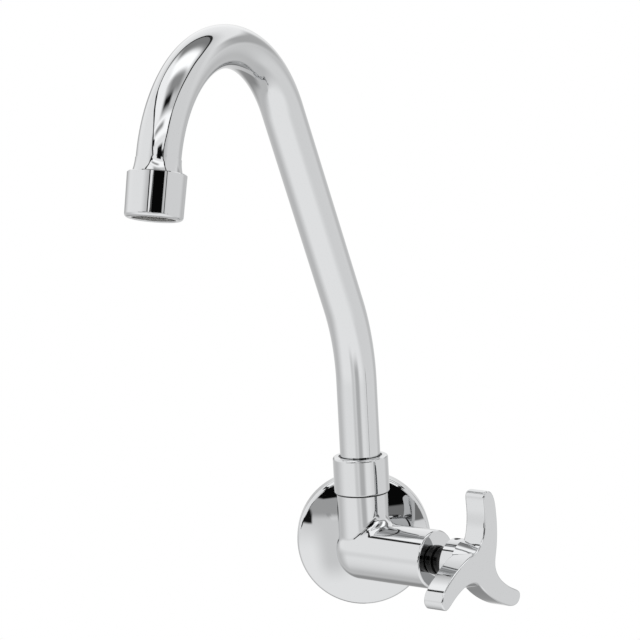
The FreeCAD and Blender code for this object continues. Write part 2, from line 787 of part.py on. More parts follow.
def star_outline():
    """The whole outline of the star: one smooth curve, split at each arm's root and tip."""
    points = []
    for arm in range(ARMS):
        turned_by = Rotation(up, SIZES["star_tilt"] - arm * 360 / ARMS)
        for across, share in ARM_OUTLINE:
            points.append(turned_by.multVec(Vector(across, share * SIZES["star_reach"], 0)))
    curve = Part.BSplineCurve()
    curve.interpolate(Points=points, PeriodicFlag=True)
    tip = len(ARM_OUTLINE) // 2
    splits = [arm * len(ARM_OUTLINE) + place for arm in range(ARMS) for place in (0, tip)]
    marks = [curve.parameter(points[i]) for i in splits]
    marks.append(marks[0] + curve.LastParameter - curve.FirstParameter)
    edges = []
    for first, last in zip(marks, marks[1:]):
        stretch = curve.copy()
        stretch.segment(first, last)
        edges.append(stretch.toShape())
    return Part.Wire(edges)


def make_handle():
    """Cast star handle: a plain hub that narrows into three curved arms with soft edges."""
    lift = Vector(0, 0, star_back.value)
    star = Part.Face(star_outline()).extrude(up * SIZES["star_thickness"])
    star.translate(lift)
    hub_radius = SIZES["hub_dia"] / 2
    hub = Part.makeCylinder(hub_radius, SIZES["hub_length"], Vector(0, 0, hub_back.value))
    taper_length = SIZES["star_thickness"] - SIZES["star_edge_round"]
    taper = Part.makeCone(hub_radius, SIZES["hub_front_dia"] / 2, taper_length, lift)
    levels = (star_back.value, star_front.value)
    rims = [edge for edge in star.Edges if rim_level(edge, levels)]
    star = star.makeFillet(SIZES["star_edge_round"], rims)
    bore_length = SIZES["spindle_in_hub"] + SIZES["face_gap"]
    bore_radius = SIZES["spindle_dia"] / 2 + SIZES["face_gap"]
    bore = Part.makeCylinder(bore_radius, bore_length, Vector(0, 0, hub_back.value))
    screw_base = Vector(0, 0, hub_back.value + SIZES["grub_place"])
    hole_radius = SIZES["grub_dia"] / 2 + SIZES["face_gap"]
    hole_length = hub_radius + SIZES["cut_overrun"]
    hole = Part.makeCylinder(hole_radius, hole_length, screw_base, Vector(0, 1, 0))
    handle = doc.addObject("Part::Feature", "handle")
    handle.Label = "handle"
    handle.Shape = star.multiFuse([hub, taper]).cut(bore).cut(hole).removeSplitter()
    handle.Placement = AT_BRANCH


def rim_level(edge, levels):
    """Whether an edge lies flat at one of the star's two face levels."""
    box = edge.BoundBox
    return any(abs(box.ZMin - level) < 0.01 and abs(box.ZMax - level) < 0.01 for level in levels)


def make_grub_screw():
    """Socket screw in the top of the hub. It presses on the spindle."""
    start = SIZES["spindle_dia"] / 2 + SIZES["face_gap"]
    along = Rotation(Vector(1, 0, 0), -90)
    place = hub_back.value + SIZES["grub_place"]
    axis = AT_BRANCH.multiply(Placement(Vector(0, start, place), along))
    shank = cylinder("grub_shank", half("grub_dia"), size("grub_length"), axis)
    socket = doc.addObject("Part::Prism", "grub_hexagon")
    socket.Polygon = 6
    socket.setExpression("Circumradius", half("grub_socket").text)
    socket.setExpression("Height", size("grub_length").text)
    socket.Placement = shifted(axis, size("grub_length") / 2)
    cut("grub_screw", shank, socket).Label = "grub_screw"


make_valve_body()
make_wall_side()
make_swivel()
make_spout_tail()
make_spout_tube()
make_outlet()
make_bonnet()
make_cartridge()
make_spindle()
make_handle()
make_grub_screw()
doc.recompute()

NODES = [
    "valve_body", "wall_flange", "flange_ring", "spout_nut", "swivel_bush", "thrust_washer",
    "spout_tail", "tail_ring_lower", "tail_ring_upper", "spout_tube", "outlet_ferrule",
    "aerator_housing", "aerator_washer", "aerator_insert", "aerator_screen", "bonnet_cap",
    "cartridge_body", "cartridge_ring", "inlet_seal", "fixed_disc", "moving_disc", "spindle",
    "spindle_ring", "handle", "grub_screw",
]

for item in doc.Objects:
    if "Invalid" in item.State or "Error" in item.State:
        raise RuntimeError("%s did not build: %s" % (item.Name, item.State))

os.makedirs("parts", exist_ok=True)
for node in NODES:
    piece = doc.getObjectsByLabel(node)[0]
    if piece.Shape.isNull() or not piece.Shape.isValid():
        raise RuntimeError(node + " has no valid shape")
    piece.Shape.exportStep("parts/%s.step" % node)
    box = piece.Shape.BoundBox
    print("%-16s solids %d volume %9.1f  x %7.2f %7.2f  y %8.2f %7.2f  z %7.2f %7.2f" % (
        node, len(piece.Shape.Solids), piece.Shape.Volume,
        box.XMin, box.XMax, box.YMin, box.YMax, box.ZMin, box.ZMax))
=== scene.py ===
# %% [markdown]
# # Wall tap with a gooseneck spout and a star handle
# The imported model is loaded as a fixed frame: every piece is already at its real size and
# place, in metres, with +Z up and +Y into the wall. This script gives the pieces their
# finish, adds the fine geometry that shows, and sets up a studio around them. Polished
# chrome has almost no colour of its own, so most of the work is in what it mirrors. Sizes
# of the tap are written in millimetres, and MM turns them into metres.

# %% Load the frame
import json
import math
import bpy
import bmesh
from mathutils import Matrix, Vector


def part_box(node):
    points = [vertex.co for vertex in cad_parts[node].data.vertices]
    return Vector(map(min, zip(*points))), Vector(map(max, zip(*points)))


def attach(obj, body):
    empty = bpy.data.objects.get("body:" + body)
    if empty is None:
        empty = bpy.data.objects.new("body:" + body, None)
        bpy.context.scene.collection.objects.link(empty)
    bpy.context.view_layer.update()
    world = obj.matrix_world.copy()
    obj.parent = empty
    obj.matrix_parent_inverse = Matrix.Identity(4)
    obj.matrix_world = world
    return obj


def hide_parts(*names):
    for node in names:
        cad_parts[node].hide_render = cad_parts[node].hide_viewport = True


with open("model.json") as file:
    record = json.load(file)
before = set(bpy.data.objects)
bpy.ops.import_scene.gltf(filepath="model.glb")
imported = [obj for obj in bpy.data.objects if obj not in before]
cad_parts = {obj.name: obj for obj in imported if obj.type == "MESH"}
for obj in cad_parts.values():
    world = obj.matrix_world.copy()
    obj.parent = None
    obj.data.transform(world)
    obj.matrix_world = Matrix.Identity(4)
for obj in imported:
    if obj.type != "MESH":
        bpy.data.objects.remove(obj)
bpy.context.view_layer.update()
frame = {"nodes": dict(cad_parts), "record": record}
MM = 0.001

# %% [markdown]
# ## Camera
# The photograph was taken with a long lens from about 1.4 m, a little above the tap. The
# place, the three axes and the lens below were worked out from the outlines of the flange,
# the nut and the spout. The camera leans by about three degrees, so upright lines lean too.

# %% The camera
CAMERA_PLACE = Vector((-0.01565, -1.38048, 0.32006))
CAMERA_RIGHT = Vector((0.99861, -0.00804, -0.05206))
CAMERA_UP = Vector((0.05268, 0.15243, 0.98691))
CAMERA_BACK = Vector((0.0, -0.98828, 0.15264))
SENSOR_MM = 36.0
LENS_MM = 163.58

camera_data = bpy.data.cameras.new("camera")
camera_data.sensor_width = SENSOR_MM
camera_data.lens = LENS_MM
camera_data.clip_start = 0.05
camera_data.clip_end = 50
camera = bpy.data.objects.new("camera", camera_data)
axes = Matrix((CAMERA_RIGHT, CAMERA_UP, CAMERA_BACK)).transposed()
camera.matrix_world = Matrix.Translation(CAMERA_PLACE) @ axes.to_4x4()
bpy.context.scene.collection.objects.link(camera)
bpy.context.scene.camera = camera
bpy.context.scene.view_settings.view_transform = "Standard"
print("camera:", LENS_MM, "mm lens,", round(CAMERA_PLACE.length, 3), "m from the wall flange")

# %% [markdown]
# ## Two small helpers
# A node tree is easier to read when adding a node is one line. `add` makes a node, sets
# its properties and fills its inputs: a number is typed in, and an output is linked. A
# whole node stands for its first output. `linear` turns a colour written as hex in sRGB
# into the linear numbers that shaders work with.


# %% Helpers for node trees and colours
def add(tree, kind, inputs=None, **settings):
    node = tree.nodes.new(kind)
    for name, value in settings.items():
        setattr(node, name, value)
    for name, value in (inputs or {}).items():
        if isinstance(value, bpy.types.Node):
            value = value.outputs[0]
        if isinstance(value, bpy.types.NodeSocket):
            tree.links.new(value, node.inputs[name])
        else:
            node.inputs[name].default_value = value
    return node


def linear(code):
    parts = [int(code[i:i + 2], 16) / 255 for i in (1, 3, 5)]
    curve = [c / 12.92 if c <= 0.04045 else ((c + 0.055) / 1.055) ** 2.4 for c in parts]
    return (*curve, 1.0)


# %% [markdown]
# ## Studio: a pale tent with one dark opening
# Polished metal is a mirror, so a plain white room would make it look like grey plastic.
# Product photographers put the object in a pale tent and look in through a slit: the
# tent gives the smooth greys and the slit gives the crisp black shapes. Real cloth and
# boards could be modelled, but a world shader that reads the direction of a ray is
# cheaper and has no noise.
#
# Two pairs of angles name a direction, all in degrees. Azimuth is 0 towards the camera and
# grows to the right, with elevation above the horizon. For what hangs in front of the tap,
# pitch climbs from the camera over the zenith to the back, with lateral out to each side.

# %% The world's direction as two pairs of angles
world = bpy.data.worlds.new("pale tent")
bpy.context.scene.world = world
world.use_nodes = True
tent = world.node_tree
tent.nodes.clear()
direction = add(tent, "ShaderNodeTexCoord").outputs["Generated"]
ray = add(tent, "ShaderNodeSeparateXYZ", {"Vector": direction})


def angle(operation, first, second=0.0):
    """An angle in degrees, from an inverse sine or tangent."""
    radians = add(tent, "ShaderNodeMath", {0: first, 1: second}, operation=operation)
    return add(tent, "ShaderNodeMath", {0: radians}, operation="DEGREES")


toward_camera = add(tent, "ShaderNodeMath", {0: ray.outputs["Y"], 1: -1.0}, operation="MULTIPLY")
azimuth = angle("ARCTAN2", ray.outputs["X"], toward_camera)
elevation = angle("ARCSINE", ray.outputs["Z"])
lateral = angle("ARCSINE", ray.outputs["X"])
pitch = angle("ARCTAN2", ray.outputs["Z"], toward_camera)
ROUND = (azimuth, elevation)
OVERHEAD = (lateral, pitch)


# %% [markdown]
# Each board or lamp of the tent is a window in two of those angles, with soft edges. A
# smooth step up at one side and down at the other, multiplied, make the window, and a mix
# then paints its brightness over what is there. A list of boards is painted in its order,
# so a later one hangs in front of an earlier one.

# %% Boards and lamps as windows in the tent
def rise(value, middle, soft):
    """A smooth step from 0 to 1 around an angle, over a number of degrees."""
    return add(tent, "ShaderNodeMapRange", {
        "Value": value, "From Min": middle - soft / 2, "From Max": middle + soft / 2,
        "To Min": 0.0, "To Max": 1.0}, interpolation_type="SMOOTHSTEP")


def between(value, low, high, soft):
    """1 between two angles and 0 outside them."""
    not_past = add(tent, "ShaderNodeMath", {0: 1.0, 1: rise(value, high, soft)},
                   operation="SUBTRACT")
    return add(tent, "ShaderNodeMath", {0: rise(value, low, soft), 1: not_past},
               operation="MULTIPLY")


def cover(below, brightness, mask, *more_masks):
    """A brightness where every mask is 1, and what is below it where one is 0."""
    for other in more_masks:
        mask = add(tent, "ShaderNodeMath", {0: mask, 1: other}, operation="MULTIPLY")
    return add(tent, "ShaderNodeMix", {"Factor": mask, "A": below, "B": brightness},
               data_type="FLOAT")


def hang(below, boards):
    """Paint each board within its span across and its span upward."""
    for _name, angles, brightness, across, upward, (soft_across, soft_up) in boards:
        below = cover(below, brightness,
                      between(angles[0], *across, soft_across),
                      between(angles[1], *upward, soft_up))
    return below


# %% [markdown]
# The tent is brightest low in front, where the table bounces the lamps back, and greyer
# at the sides and behind. The last board is a thin pole on the right, which draws the dark
# line down the nut and the body.

# %% Cloth of the tent
TENT_BRIGHTNESS = 0.80
# Name, pair of angles, brightness, span across, span upward, softness of both spans.
CLOTH = [
    ("table in front", ROUND, 1.32, (-96, 90), (-95, -4), (56, 30)),
    ("left wall", ROUND, 1.28, (-128, -40), (-3, 62), (34, 22)),
    ("right wall", ROUND, 1.08, (42, 122), (-40, 62), (24, 20)),
    ("roof behind the tap", OVERHEAD, 1.30, (-70, 64), (126, 170), (34, 26)),
    ("shade under the camera", ROUND, 0.70, (-9, 15), (-25, 6), (16, 14)),
    ("pale board beside that shade", ROUND, 0.98, (-27, -12), (-32, 10), (12, 16)),
    ("table behind the tap", ROUND, 0.40, (-195, -146), (-66, -26), (24, 20)),
    ("left back corner", ROUND, 0.55, (-168, -146), (-8, 14), (12, 8)),
    ("right back corner", ROUND, 0.62, (116, 154), (5, 22), (16, 8)),
    ("pole on the right", ROUND, 0.14, (54.4, 56.0), (-15, 1), (1.0, 4)),
]
light = hang(TENT_BRIGHTNESS, CLOTH)

# %% [markdown]
# The front panel of the tent arches over the tap. Its hem is a thin black line, and the
# distance to a box with round corners draws it. The panel is narrowest low in front and
# widest overhead, so the lateral angle is first squeezed by a factor that falls in two
# steps of pitch. Near its lower corners the hem is folded double.

# %% The hem of the front panel
# Lateral angle and pitch of the box's middle, and half its size in both.
HEM_MIDDLE = (2.5, 58.0)
HEM_HALF = (30.0, 68.0)
HEM_CORNER = 26.0
# Half the width of the hem and of its fold, and the softness of their edges.
HEM_LINE = 1.5
HEM_FOLD = 2.6
HEM_SOFT = 0.9
HEM_BRIGHTNESS = 0.03
FOLD_BRIGHTNESS = 0.02
# Each step has its middle and its softness in pitch.
FRONT_SQUEEZE = 0.23
FRONT_STEP = (29, 12)
OVERHEAD_STRETCH = 0.32
OVERHEAD_STEP = (52, 66)

let_out_in_front = add(tent, "ShaderNodeMath", {
    0: rise(pitch, *FRONT_STEP), 1: FRONT_SQUEEZE}, operation="MULTIPLY")
let_out_overhead = add(tent, "ShaderNodeMath", {
    0: rise(pitch, *OVERHEAD_STEP), 1: OVERHEAD_STRETCH}, operation="MULTIPLY")
squeeze = add(tent, "ShaderNodeMath", {
    0: 1.0 + FRONT_SQUEEZE, 1: let_out_in_front}, operation="SUBTRACT")
squeeze = add(tent, "ShaderNodeMath", {0: squeeze, 1: let_out_overhead}, operation="SUBTRACT")
squeezed = add(tent, "ShaderNodeMath", {0: lateral, 1: squeeze}, operation="MULTIPLY")


def beyond(value, middle, reach):
    """How far an angle lies past the straight part of one side, squared."""
    apart = add(tent, "ShaderNodeMath", {0: value, 1: middle}, operation="SUBTRACT")
    apart = add(tent, "ShaderNodeMath", {0: apart}, operation="ABSOLUTE")
    past = add(tent, "ShaderNodeMath", {0: apart, 1: reach}, operation="SUBTRACT")
    past = add(tent, "ShaderNodeMath", {0: past, 1: 0.0}, operation="MAXIMUM")
    return add(tent, "ShaderNodeMath", {0: past, 1: past}, operation="MULTIPLY")


from_corner = add(tent, "ShaderNodeMath", {
    0: beyond(squeezed, HEM_MIDDLE[0], HEM_HALF[0] - HEM_CORNER),
    1: beyond(pitch, HEM_MIDDLE[1], HEM_HALF[1] - HEM_CORNER)}, operation="ADD")
from_corner = add(tent, "ShaderNodeMath", {0: from_corner}, operation="SQRT")
from_hem = add(tent, "ShaderNodeMath", {0: from_corner, 1: HEM_CORNER}, operation="SUBTRACT")

# %% [markdown]
# Inside the hem hang the lamps, with dark gaps between them, and below them opens the slit
# that the camera looks through. The slit is the black stripe down the aerator.

# %% Inside the hem
PANEL_BRIGHTNESS = 0.95
PANEL = [
    ("shade of the rear lamp", OVERHEAD, 0.34, (-34, 60), (106, 140), (40, 18)),
    ("rear lamp", OVERHEAD, 1.8, (-60, 40), (82, 104), (14, 12)),
    ("left lamp", OVERHEAD, 1.5, (-60, -12), (48, 118), (12, 14)),
    ("grey board between lamps", OVERHEAD, 0.42, (-4, 36), (64, 82), (20, 12)),
    ("hole in the board", OVERHEAD, 0.01, (-7, 17), (54, 66), (11, 9)),
    ("front lamp", OVERHEAD, 1.7, (-34, 36), (33, 49), (6, 6)),
    ("bracket of the front lamp", OVERHEAD, 0.45, (-24, 10), (40, 45), (16, 5)),
    ("apron below the lamps", OVERHEAD, 1.35, (-60, 60), (-10, 33), (4, 5)),
    ("neck of the slit", OVERHEAD, 0.004, (-8.5, 24), (16, 24), (1.2, 2)),
    ("tip of the slit", OVERHEAD, 0.004, (-4, 17), (22, 28.5), (6, 3)),
]
SLIT = [
    ("slit", OVERHEAD, 0.004, (-8.5, 32.5), (3, 18.5), (1.2, 2)),
    ("cord beside the slit", ROUND, 0.10, (41.3, 44.6), (7.5, 14), (1.5, 2)),
    ("grey board under the slit", ROUND, 0.25, (14, 46), (-3, 7.4), (4, 1.5)),
]
# Pitch from which the panel and its hem show, and the softness of that edge.
PANEL_FOOT = (2, 4)
HEM_FOOT = (4, 4)
# Pitch between which the hem is folded, and the softness of both ends.
FOLDED = (17, 46, 8)

outside = rise(from_hem, 0.0, 1.0)
inside = add(tent, "ShaderNodeMath", {0: 1.0, 1: outside}, operation="SUBTRACT")
line = between(from_hem, -HEM_LINE, HEM_LINE, HEM_SOFT)
fold = between(from_hem, -HEM_FOLD, HEM_FOLD, HEM_SOFT)
light = cover(light, hang(PANEL_BRIGHTNESS, PANEL), inside, rise(pitch, *PANEL_FOOT))
light = cover(light, HEM_BRIGHTNESS, line, rise(pitch, *HEM_FOOT))
light = cover(light, FOLD_BRIGHTNESS, fold, between(pitch, *FOLDED))
light = hang(light, SLIT)

# %% [markdown]
# To the left of the slit the room behind the tent shows through above and below one strip
# of cloth. The wall flange mirrors both gaps as its dark upper left side. The strip's upper
# edge slopes, so one gap is measured on a slant.

# %% The gaps left of the slit
SLANT = 0.14
drop = add(tent, "ShaderNodeMath", {0: azimuth, 1: SLANT}, operation="MULTIPLY")
aslant = add(tent, "ShaderNodeMath", {0: elevation, 1: drop}, operation="SUBTRACT")
GAPS = [
    ("gap near the hem", ROUND, 0.004, (-36, -25), (30, 35), (4, 2)),
    ("strip of cloth", ROUND, 0.55, (-42, -8), (3, 17), (8, 5)),
    ("gap above the strip", (azimuth, aslant), 0.004, (-42, -9), (16.5, 22.7), (4, 1.0)),
    ("gap below the strip", ROUND, 0.01, (-62, -30.5), (-1.5, 6.5), (1.5, 2)),
]
light = hang(light, GAPS)

# %% [markdown]
# The background of a cut-out product picture is pure white. Camera rays get it from the
# world at a strength of 1. Mirrored and scattered rays see the tent, which is about as
# bright on the whole, because its dark parts are what makes chrome look like chrome.

# %% White for the camera, the tent for everything else
rays = add(tent, "ShaderNodeLightPath")
seen = cover(light, 1.0, rays.outputs["Is Camera Ray"])
background = add(tent, "ShaderNodeBackground", {"Color": seen, "Strength": 1.0})
add(tent, "ShaderNodeOutputWorld", {"Surface": background})
print("tent:", len(tent.nodes), "nodes")

# %% [markdown]
# ## Floor
# The tap hangs on a wall, so the floor is well below it, like the bottom of a sink. It is
# pale and matt. Polished metal would mirror its edge as a hard line, so glossy rays pass
# through it to the tent's own table below.

# %% The floor
# Both sizes are in metres, as is all that belongs to the studio.
FLOOR_DROP = 0.42
FLOOR_HALF = 1.3


def make_floor():
    mesh = bpy.data.meshes.new("floor")
    corners = [(-1, -1), (1, -1), (1, 1), (-1, 1)]
    verts = [(x * FLOOR_HALF, y * FLOOR_HALF, -FLOOR_DROP) for x, y in corners]
    mesh.from_pydata(verts, [], [(0, 1, 2, 3)])
    floor = bpy.data.objects.new("floor", mesh)
    bpy.context.scene.collection.objects.link(floor)
    material = bpy.data.materials.new("matt white floor")
    material.use_nodes = True
    shader = material.node_tree.nodes["Principled BSDF"]
    shader.inputs["Base Color"].default_value = linear("#F4F4F3")
    shader.inputs["Roughness"].default_value = 0.9
    mesh.materials.append(material)
    floor.visible_glossy = False
    print("floor:", FLOOR_DROP, "m below the inlet")


make_floor()


# %% [markdown]
# ## Metals
# Chrome plate is a very thin layer of chromium over nickel. Its colour is a neutral,
# slightly cool grey that returns a little over half of the light, and what tells one piece
# from another is how the base metal was prepared: a buffed casting keeps a faint
# orange-peel wave, a drawn tube has fine lines along its length, and a pressed sheet has
# long soft waves. Each finish here is one Principled shader whose roughness and bump come
# from noise at that process's own scale.

# %% A blank material, real-size grain and uneven polish
def new_material(name):
    material = bpy.data.materials.new(name)
    material.use_nodes = True
    tree = material.node_tree
    return material, tree, tree.nodes["Principled BSDF"]


def per_metre(size_mm):
    """Texture scale that makes one feature this many millimetres long."""
    return 1000.0 / size_mm


def real_grain(tree, size_mm, stretch=(1, 1, 1), detail=2.0):
    """A cloudy grain of a real size, fixed to the piece."""
    place = add(tree, "ShaderNodeTexCoord").outputs["Object"]
    stretched = add(tree, "ShaderNodeMapping", {"Vector": place, "Scale": stretch})
    return add(tree, "ShaderNodeTexNoise", {
        "Vector": stretched, "Scale": per_metre(size_mm), "Detail": detail})


GRAIN_RANGE = (0.3, 0.7)


def uneven_polish(tree, shader, rough, size_mm, stretch=(1, 1, 1)):
    """Let the roughness wander between two values. Most grain lies within GRAIN_RANGE."""
    low, high = GRAIN_RANGE
    spread = add(tree, "ShaderNodeMapRange", {
        "Value": real_grain(tree, size_mm, stretch), "From Min": low, "From Max": high,
        "To Min": rough[0], "To Max": rough[1]})
    tree.links.new(spread.outputs[0], shader.inputs["Roughness"])


def raise_surface(tree, shader, height, depth_mm):
    """Tilt the surface's normal as if the height stood out by a real depth."""
    relief = add(tree, "ShaderNodeBump", {
        "Height": height, "Distance": depth_mm * MM, "Strength": 1.0})
    tree.links.new(relief.outputs[0], shader.inputs["Normal"])


# %% Chrome on four base metals
CHROME = "#C4C5C6"
CHROME_CLOUD = 9.0


def chrome(name, wave_mm, wave_depth_mm, rough, stretch=(1, 1, 1)):
    """Polished chrome plate. The wave is what buffing leaves in the metal underneath."""
    material, tree, shader = new_material(name)
    shader.inputs["Base Color"].default_value = linear(CHROME)
    shader.inputs["Metallic"].default_value = 1.0
    uneven_polish(tree, shader, rough, CHROME_CLOUD, stretch)
    wave = real_grain(tree, wave_mm, stretch, 1.0)
    raise_surface(tree, shader, wave, wave_depth_mm)
    return material


# Body, nut and aerator: crisp mirror images with a faint wobble.
chrome_on_casting = chrome(
    "chrome plate on buffed brass casting",
    wave_mm=14.0, wave_depth_mm=0.010, rough=(0.018, 0.035))
# Wall flange: the clearest mirror, bent by long slow waves.
chrome_on_sheet = chrome(
    "chrome plate on pressed sheet",
    wave_mm=30.0, wave_depth_mm=0.020, rough=(0.012, 0.025))
# Spout: a softer polish that runs along the tube.
chrome_on_tube = chrome(
    "chrome plate on drawn tube",
    wave_mm=20.0, wave_depth_mm=0.008, rough=(0.03, 0.055), stretch=(1, 1, 0.25))
# Star handle: a slightly milky polish, as thick plate on zinc has.
chrome_on_zinc = chrome(
    "chrome plate on zinc die casting",
    wave_mm=16.0, wave_depth_mm=0.012, rough=(0.03, 0.05))
print("chrome:", CHROME, "on casting, sheet, tube and zinc")


# %% [markdown]
# Bare metals are made differently. Turned brass keeps the rings of the cutting tool, a
# fraction of a millimetre apart and too fine to show. They are drawn as a ripple about
# 4 mm apart, which breaks up the highlights in the same way from a distance.

# %% Turned and drawn metals
WAVE_TURN = 10.0
METAL_CLOUD = 2.0
RIPPLE_DEPTH = 0.01


def worked_metal(name, colour, ripple_mm, rough):
    """Bare metal with tool marks. A wave texture turns WAVE_TURN radians per unit."""
    material, tree, shader = new_material(name)
    shader.inputs["Base Color"].default_value = linear(colour)
    shader.inputs["Metallic"].default_value = 1.0
    uneven_polish(tree, shader, rough, METAL_CLOUD)
    place = add(tree, "ShaderNodeTexCoord").outputs["Object"]
    ripple = add(tree, "ShaderNodeTexWave", {
        "Vector": place, "Scale": per_metre(ripple_mm) * 2 * math.pi / WAVE_TURN,
        "Distortion": 0.3, "Detail": 1.0}, wave_type="BANDS", bands_direction="DIAGONAL")
    raise_surface(tree, shader, ripple.outputs["Fac"], RIPPLE_DEPTH)
    return material


# Tail of the spout: warm yellow, with a broken gloss.
bare_brass = worked_metal(
    "turned brass", "#C09A55", ripple_mm=4.4, rough=(0.18, 0.32))
# Spindle and grub screw: neutral grey, a little duller.
stainless = worked_metal(
    "turned stainless steel", "#B4B2AD", ripple_mm=3.77, rough=(0.22, 0.35))
# Gauze: darker and duller still, because drawn wire isn't polished.
steel_wire = worked_metal(
    "drawn stainless wire", "#A9A8A5", ripple_mm=3.77, rough=(0.28, 0.4))
print("bare metals: brass, stainless steel and wire")


# %% [markdown]
# ## Rubbers and plastics
# These are the pieces that hold water back or carry a bearing face. Moulded parts are
# smooth with a slight mottle from the mould, rubber is duller, and the lapped ceramic
# discs of the valve are dense and slightly glossy.

# %% Moulded and lapped materials
MOTTLE = 3.0
MOULD_CLOUD = 4.0


def moulded(name, colour, shade, rough, grain_mm, grain_depth_mm, gloss=0.5):
    """A dyed solid. A second shade, mixed in by grain, gives the mottle of the mould."""
    material, tree, shader = new_material(name)
    shader.inputs["Specular IOR Level"].default_value = gloss
    mottle = real_grain(tree, MOTTLE, detail=3.0)
    mixed = add(tree, "ShaderNodeMix", {
        "Factor": mottle, "A": linear(colour), "B": linear(shade)}, data_type="RGBA")
    tree.links.new(mixed.outputs["Result"], shader.inputs["Base Color"])
    uneven_polish(tree, shader, rough, MOULD_CLOUD)
    grain = real_grain(tree, grain_mm, detail=4.0)
    raise_surface(tree, shader, grain, grain_depth_mm)
    return material


# Neck of the cartridge: deep black with small sharp highlights.
black_moulding = moulded(
    "glossy moulded black plastic", "#040404", shade="#070707",
    rough=(0.10, 0.15), grain_mm=8.0, grain_depth_mm=0.004, gloss=0.25)
# O-rings and washers: soft black without a clear highlight.
black_rubber = moulded(
    "moulded nitrile rubber", "#161616", shade="#1D1D1C",
    rough=(0.5, 0.65), grain_mm=0.5, grain_depth_mm=0.01)
# Bush under the tube: a satin black.
black_nylon = moulded(
    "moulded black nylon", "#141516", shade="#1B1C1D",
    rough=(0.35, 0.5), grain_mm=0.8, grain_depth_mm=0.01)
# Washer and aerator insert: waxy white.
white_acetal = moulded(
    "moulded white acetal", "#E6E5E0", shade="#DEDDD6",
    rough=(0.3, 0.42), grain_mm=0.8, grain_depth_mm=0.008)
# Valve discs: cream white with a clear gloss from lapping.
white_ceramic = moulded(
    "lapped alumina ceramic", "#EDEBE4", shade="#E4E1D8",
    rough=(0.12, 0.22), grain_mm=1.0, grain_depth_mm=0.004)
print("moulded and lapped: plastic, rubber, nylon, acetal and ceramic")

# %% [markdown]
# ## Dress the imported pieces
# The record names a material slot for every node. One table joins each slot to its finish,
# so that a piece takes the right one without being listed again.

# %% Give every node its finish
FINISHES = {
    "chromed_brass": chrome_on_casting,
    "chromed_steel": chrome_on_sheet,
    "chromed_tube": chrome_on_tube,
    "chromed_zinc": chrome_on_zinc,
    "bare_brass": bare_brass,
    "stainless_steel": stainless,
    "steel_mesh": steel_wire,
    "black_rubber": black_rubber,
    "black_nylon": black_nylon,
    "black_moulding": black_moulding,
    "white_acetal": white_acetal,
    "white_ceramic": white_ceramic,
}
for subpart in frame["record"]["subparts"]:
    node = frame["nodes"][subpart["node"]]
    node.data.materials.clear()
    node.data.materials.append(FINISHES[subpart["material_slot"]])


# %% [markdown]
# ## The bent tube
# The spout is one brass tube, bent on a mandrel and polished. Its long highlights run
# through straights and bends without a break, which loose triangles from a CAD mesh can't
# give, so the tube is swept again here along the same route. The route is two bends and
# three straights: a slow lean outwards, a long leg, then the arch. Turns are in degrees. A
# curve carries the route and Geometry Nodes sweep a circle along it.

# %% The route of the tube
STANDOFF = 31.0
SPOUT_SWING = 28.5
NUT_TOP = 46.0
TUBE_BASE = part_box("spout_tube")[0].z / MM
TUBE_DIA = 19.05
TUBE_WALL = 1.0
RISE_STRAIGHT = 34.7
LEAN = 26.8
LEAN_BEND = 85.6
LEG_STRAIGHT = 107.8
ARCH_BEND = 58.2
ARCH_TURN = 137.6
TIP_STRAIGHT = 5.7
TIP_SOCKET = 2.0
ARC_STEP = 1.5
STRAIGHT_STEP = 4.0


def route_points():
    """(outward, up) places in millimetres along straights and arcs."""
    place = Vector((0.0, TUBE_BASE))
    heading = 0.0
    points = [place.copy()]
    runs = [
        (NUT_TOP + RISE_STRAIGHT - TUBE_BASE, 0, 0),
        (0, LEAN_BEND, LEAN),
        (LEG_STRAIGHT, 0, 0),
        (0, ARCH_BEND, ARCH_TURN),
        (TIP_STRAIGHT + TIP_SOCKET, 0, 0),
    ]
    for straight, radius, turn in runs:
        if straight:
            steps = max(2, round(straight / STRAIGHT_STEP))
            for _ in range(steps):
                place += Vector((math.sin(heading), math.cos(heading))) * straight / steps
                points.append(place.copy())
            continue
        steps = max(2, round(turn / ARC_STEP))
        for _ in range(steps):
            old = heading
            heading += math.radians(turn) / steps
            place += Vector((math.cos(old) - math.cos(heading),
                             math.sin(heading) - math.sin(old))) * radius
            points.append(place.copy())
    return points


def spout_place(outward, up):
    """From millimetres in the spout's own plane to metres in the frame."""
    swing = math.radians(SPOUT_SWING)
    return Vector((-math.sin(swing) * outward, -STANDOFF - math.cos(swing) * outward, up)) * MM


def curve_through(name, runs, closed=False):
    """A curve with one spline through each run of places."""
    curve = bpy.data.curves.new(name, "CURVE")
    curve.dimensions = "3D"
    for places in runs:
        spline = curve.splines.new("POLY")
        spline.points.add(len(places) - 1)
        spline.use_cyclic_u = closed
        for point, place in zip(spline.points, places):
            point.co = (*place, 1.0)
    route = bpy.data.objects.new(name, curve)
    bpy.context.scene.collection.objects.link(route)
    return route


# %% [markdown]
# A node group with named inputs works as a small tool of its own. `new_tool` opens one
# with the inputs it is given, and `use_tool` runs it on an object, keeps the result as a
# plain mesh and removes the rest. The value of an input is set by the socket's identifier.

# %% Helpers for Geometry Nodes tools
def new_tool(name, inputs):
    tree = bpy.data.node_groups.new(name, "GeometryNodeTree")
    tree.is_modifier = True
    tree.interface.new_socket("Geometry", in_out="INPUT", socket_type="NodeSocketGeometry")
    tree.interface.new_socket("Geometry", in_out="OUTPUT", socket_type="NodeSocketGeometry")
    for label, kind in inputs.items():
        tree.interface.new_socket(label, in_out="INPUT", socket_type="NodeSocket" + kind)
    start = add(tree, "NodeGroupInput").outputs
    return tree, start


